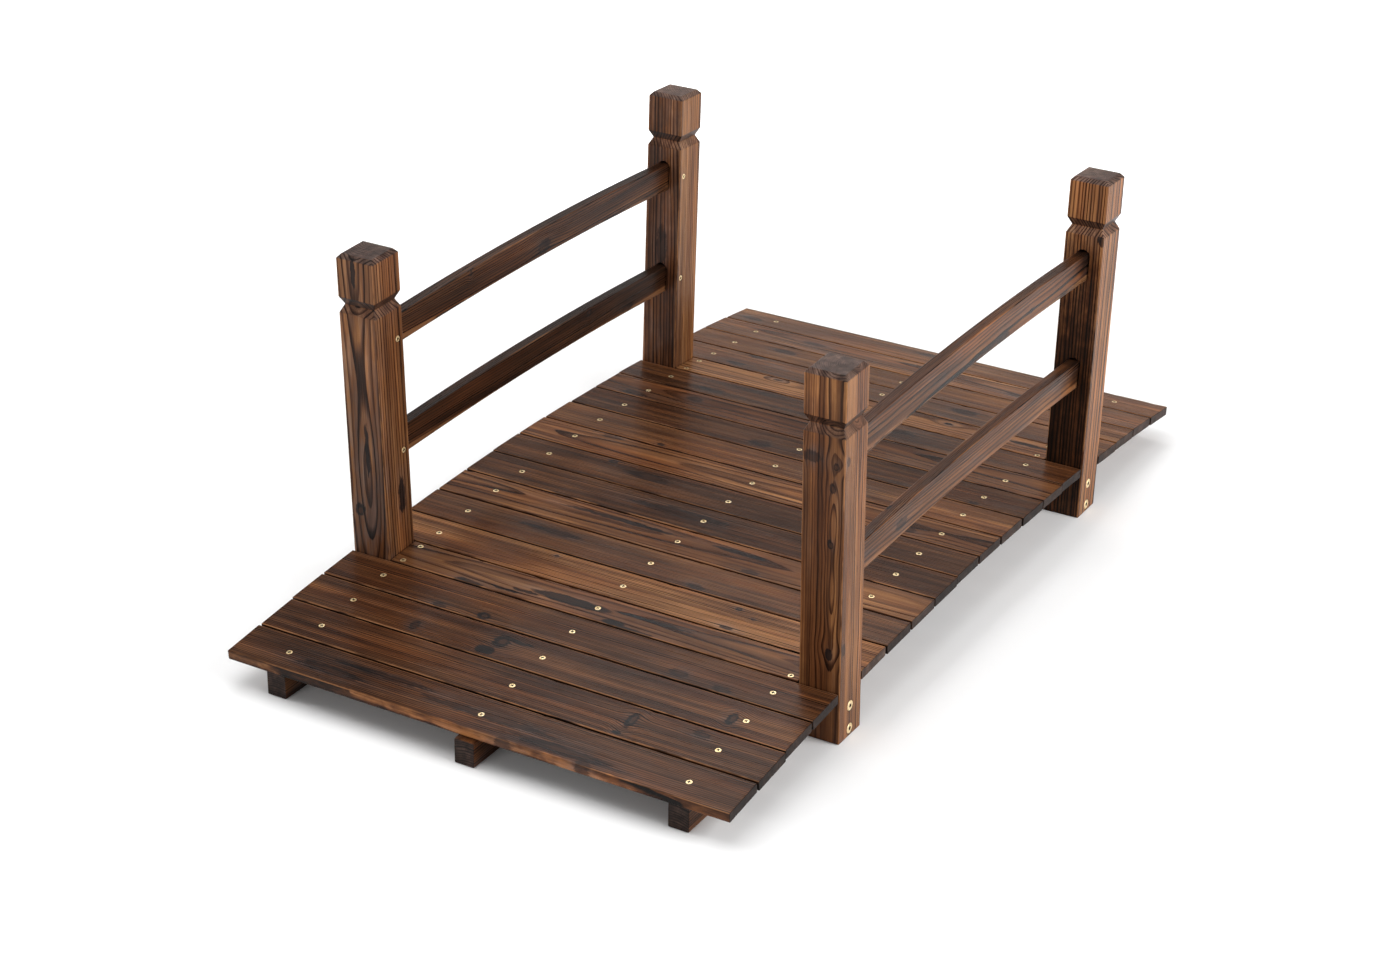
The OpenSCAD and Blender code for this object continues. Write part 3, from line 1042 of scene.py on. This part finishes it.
# Figure, tone and marks of each post, in millimetres up it, to its left and to its front
POST_LOOKS = {
    "front_left_post": (
        Figure((0.0, 2.0, -46.0), (0.0, 0.0, 0.012), 4.4, 6.0, 0.52), 0.72,
        [front_shade(150, 200, 60, 0.05, smoke=0.45), front_shade(410, 70, 60, -0.09),
         knot(156, 17, 11, 10, z=32, depth=16), streak(258, -3, 46, 4, z=32, depth=12),
         eye(205, -3, 100, 17, (0.0, 0.0, -13.0), z=32), eye(575, 3, 120, 17, (0.0, 0.0, -11.0), z=32),
         streak(538, 3, 24, 4, z=32, depth=12), streak(175, -32, 32, 12, z=-8, depth=9)]),
    "front_right_post": (
        Figure((0.0, -15.0, -12.0), (0.0, -0.003, 0.004), 2.7, 3.0, 0.40), 0.78,
        [front_shade(250, 600, 90, 0.11), front_shade(545, 50, 60, -0.10),
         knot(430, -19, 6, 5, z=32, depth=12, dark=0.6), knot(397, -14, 8, 5, z=32, depth=12, dark=0.6),
         eye(344, -16, 44, 8, (0.0, 0.0, -7.0), z=32), knot(312, -12, 7, 4, z=32, depth=12, dark=0.8),
         eye(236, -16, 56, 8, (0.0, 0.0, -7.0), z=32), smudge(437, 18, 9, 15, z=32, depth=12),
         streak(141, -13, 10, 5, z=32, depth=12), knot(437, -32, 8, 12, z=22, depth=5, dark=0.5),
         knot(150, -32, 9, 12, z=24, depth=5, dark=0.5)]),
    "rear_left_post": (
        Figure((0.0, -84.0, -80.0), (0.0, 0.010, 0.006), 3.9, 4.0, 0.55), 0.84,
        [smudge(300, 0, 40, 10, z=30, depth=12), front_shade(250, 600, 90, 0.26, smoke=0.3)]),
    "rear_right_post": (
        Figure((0.0, 88.0, -58.0), (0.0, 0.008, 0.006), 4.0, 4.0, 0.80), 0.86,
        [front_shade(180, 330, 90, 0.60), streak(469, -32, 12, 12, z=34, depth=6)]),
}

bolts = []
for number, (name, (figure, tone, marks)) in enumerate(POST_LOOKS.items()):
    rng = random.Random(POST_SEED + number)
    end = -1 if name.startswith("front") else 1
    side = 1 if "left" in name else -1
    matrix = post_matrix(end, side)
    to_local = matrix.inverted()
    cutters = []
    for up in RAIL_UPS.values():
        x, z, slope = rail_meets_post(up)
        outward = Vector((-end * math.cos(slope), 0.0, math.sin(slope)))
        across = Vector((end * math.sin(slope), 0.0, math.cos(slope)))
        cutters.append((MORTISE, to_local @ axes(outward, across, (end * x, side * POST_Y, z))))
        spot = Vector((end * (x + RAIL_SCREW_INSET), side * POST_INNER_Y, z + RAIL_SCREW_RISE))
        seat = axes((0.0, 0.0, 1.0), (0.0, -side, 0.0), spot)
        cutters.append((SCREW_SEAT, to_local @ seat))
        turn = Matrix.Rotation(rng.uniform(0, math.pi / 2), 4, "Z")
        screws.append(seat @ Matrix.Translation((0, 0, -SCREW_SINK)) @ turn)
    for height in BOLT_HEIGHTS:
        spot = Vector((end * (POST_X + height * math.tan(POST_LEAN)), side * BOARD_LENGTH / 2, height))
        seat = axes((0.0, 0.0, 1.0), (0.0, side, 0.0), spot)
        cutters.append((BOLT_SEAT, to_local @ seat))
        turn = Matrix.Rotation(rng.uniform(0, math.pi / 3), 4, "Z")
        bolts.append(seat @ Matrix.Translation((0, 0, BOLT_STAND)) @ turn)
    mesh = cut(post_mesh(name + "_wood", end), joined("cutters", cutters))
    material = wood_material(
        name + "_wood", 60.0 + number * 3.1, figure, (POST_WIDTH, POST_WIDTH), marks,
        tone=tone, smoky=0.12, wear_and_highlight=0.75, burn=0.10, eave_painted_shade=0.22)
    place(name + "_wood", mesh, matrix, [name], "post_wood", material)


# Rails

def rail_mesh(name, reach):
    """Arched rail about the top of its own arc, from -reach to reach along the arc."""
    outline = rounded_outline(RAIL_THICKNESS / 2, RAIL_HEIGHT / 2, RAIL_EDGE_EASE, y_steps=3, z_steps=6)
    sections = []
    for s in end_stations(reach, RAIL_END_EASE, RAIL_STEP):
        angle = s / RAIL_RADIUS
        inset = end_inset(s, reach, RAIL_END_EASE)
        ring = []
        for y, z in outline:
            y *= 1 - inset / (RAIL_THICKNESS / 2)
            z *= 1 - inset / (RAIL_HEIGHT / 2)
            radius = RAIL_RADIUS + z
            ring.append((radius * math.sin(angle), y, radius * math.cos(angle) - RAIL_RADIUS))
        sections.append(ring)
    return loft(name, sections)


# Figure, tone and marks of each rail, in millimetres along it, to its left and up
RAIL_LOOKS = {
    ("left", "upper"): (
        Figure((0.0, 75.0, -88.0), (0.0, 0.004, 0.006), 2.9, 4.0, 1.00), 0.50,
        [smudge(15, -9, 19, 8, z=-9, depth=12), eye(15, -9, 42, 12, (0.0, 0.0, -5.0), z=-9),
         knot(-186, -9, 3, 8, z=15, depth=7), streak(278, -9, 20, 4, z=22, depth=4)]),
    ("left", "lower"): (
        Figure((0.0, 80.0, 84.0), (0.0, -0.004, 0.005), 2.9, 4.0, 0.80), 0.38,
        [knot(148, -9, 6, 8, z=14, depth=6), smudge(265, -9, 20, 8, z=-19, depth=7)]),
    ("right", "upper"): (
        Figure((0.0, 90.0, -32.0), (0.0, -0.004, 0.005), 2.3, 3.0, 0.72), 0.62,
        [smudge(85, -9, 22, 8, z=-17, depth=8), knot(185, -9, 4, 8, z=-9, depth=3),
         # Darker end by the post: painted shade where the rail goes into the post, partly char
         mark(398, 0, 34, 30, 0, 60, Shade=0.30, Ragged=0.6)]),
    ("right", "lower"): (
        Figure((0.0, 85.0, -45.0), (0.0, 0.005, 0.005), 2.5, 3.0, 0.80), 0.65,
        [streak(-241, 6, 12, 3, z=22, depth=5), smudge(-231, -9, 18, 6, z=-7, depth=8),
         # Darker end by the post: painted shade where the rail goes into the post, partly char
         mark(392, 0, 34, 30, 0, 60, Shade=0.30, Ragged=0.6)]),
}

# The right rails are greyer: smoke, and partly a painted sheen on the sides that face the light
RAIL_SMOKE_AND_SHEEN = {"left": 0.10, "right": 0.50}
for number, ((side, level), (figure, tone, marks)) in enumerate(RAIL_LOOKS.items()):
    name = f"{side}_{level}_rail"
    _, z, slope = rail_meets_post(RAIL_UPS[level])
    reach = slope * RAIL_RADIUS + MORTISE_DEPTH - RAIL_END_PLAY
    crown = z - RAIL_RADIUS * math.cos(slope) + RAIL_RADIUS
    matrix = Matrix.Translation((0.0, POST_Y if side == "left" else -POST_Y, crown))
    material = wood_material(
        name + "_wood", 80.0 + number * 2.7, figure, (RAIL_THICKNESS, RAIL_HEIGHT), marks,
        tone=tone, smoky=RAIL_SMOKE_AND_SHEEN[side], wear_and_highlight=0.4, burn=0.5, top_painted_shade=0.10)
    place(name + "_wood", rail_mesh(name + "_wood", reach), matrix, [name], "rail_wood", material)

for name, head, places in (("wood_screws", SCREW_HEAD, screws), ("foot_bolts", BOLT_HEAD, bolts)):
    mesh = joined(name, [(head, matrix) for matrix in places])
    place(name, mesh, Matrix(), [], "brass_fastener", BRASS, RECESS_PAINTED_SHADE)


# Studio

def area_light(name, at, aim, width, height, watts):
    light = bpy.data.lights.new(name, "AREA")
    light.shape = "RECTANGLE"
    light.size = width
    light.size_y = height
    light.energy = watts
    lamp = add_object(name, light)
    lamp.location = at
    lamp.rotation_euler = (Vector(aim) - Vector(at)).to_track_quat("-Z", "Y").to_euler()


area_light("top_softbox", (-0.4, 0.3, 3.2), (0.0, 0.0, 0.1), width=3.0, height=3.0, watts=54.0)
area_light("right_softbox", (0.0, -3.8, 2.1), (0.0, 0.0, 0.2), width=2.6, height=2.6, watts=170.0)
area_light("front_fill", (-4.6, 0.4, 1.9), (0.0, 0.0, 0.1), width=2.6, height=1.8, watts=32.0)
area_light("left_fill", (-0.8, 4.4, 2.6), (0.0, 0.0, 0.2), width=2.6, height=2.6, watts=125.0)
area_light("rear_softbox", (3.0, 1.60, 3.7), (-0.5, 0.0, 0.1), width=2.5, height=1.0, watts=54.0)

# White paper sweep: bright near the floor, dimmer overhead
world = bpy.data.worlds.new("studio")
sky = shader_graph(world)
height = sky.split(sky.add("TexCoord").outputs["Generated"])[2]
glow = sky.step(height, low=0.0, high=0.50, to_low=0.90, to_high=0.18)
background = sky.add("Background", {"Color": (1.0, 1.0, 1.0, 1.0), "Strength": glow})
sky.add("OutputWorld", {"Surface": background.outputs[0]})
bpy.context.scene.world = world
bpy.context.scene.view_settings.view_transform = "Standard"

# Floor of the same paper, which glows further out so that it runs into the background
FLOOR_HALF = 14.0
FLOOR_DROP = 0.0005
floor_bm = bmesh.new()
bmesh.ops.create_grid(floor_bm, x_segments=4, y_segments=4, size=FLOOR_HALF)
floor = add_object("studio_floor", finished(floor_bm, "studio_floor"))
floor.location = (0.0, 0.0, -FLOOR_DROP)
paper = bpy.data.materials.new("studio_paper")
sheet = shader_graph(paper)
from_middle = sheet.vector("LENGTH", sheet.add("TexCoord").outputs["Object"])
sheet_shader = sheet.add("BsdfPrincipled", {
    "Base Color": (0.92, 0.92, 0.92, 1.0), "Roughness": 0.9, "Emission Color": (1.0, 1.0, 1.0, 1.0),
    "Emission Strength": sheet.step(from_middle, low=0.9, high=2.8, to_low=0.0, to_high=0.9)})
sheet.add("OutputMaterial", {"Surface": sheet_shader.outputs[0]})
floor.data.materials.append(paper)

# Camera of the photograph, from a perspective fit to the bridge's corners
camera_data = bpy.data.cameras.new("photo_camera")
camera_data.sensor_fit = "HORIZONTAL"
camera_data.sensor_width = 36.0
camera_data.lens = 73.943
camera_data.clip_end = 100.0
camera = add_object("photo_camera", camera_data)
camera.location = (-3.50785, -1.93696, 2.06165)
camera.rotation_euler = Euler([math.radians(a) for a in (64.1194, -0.8567, -59.7820)], "XYZ")
bpy.context.scene.camera = camera
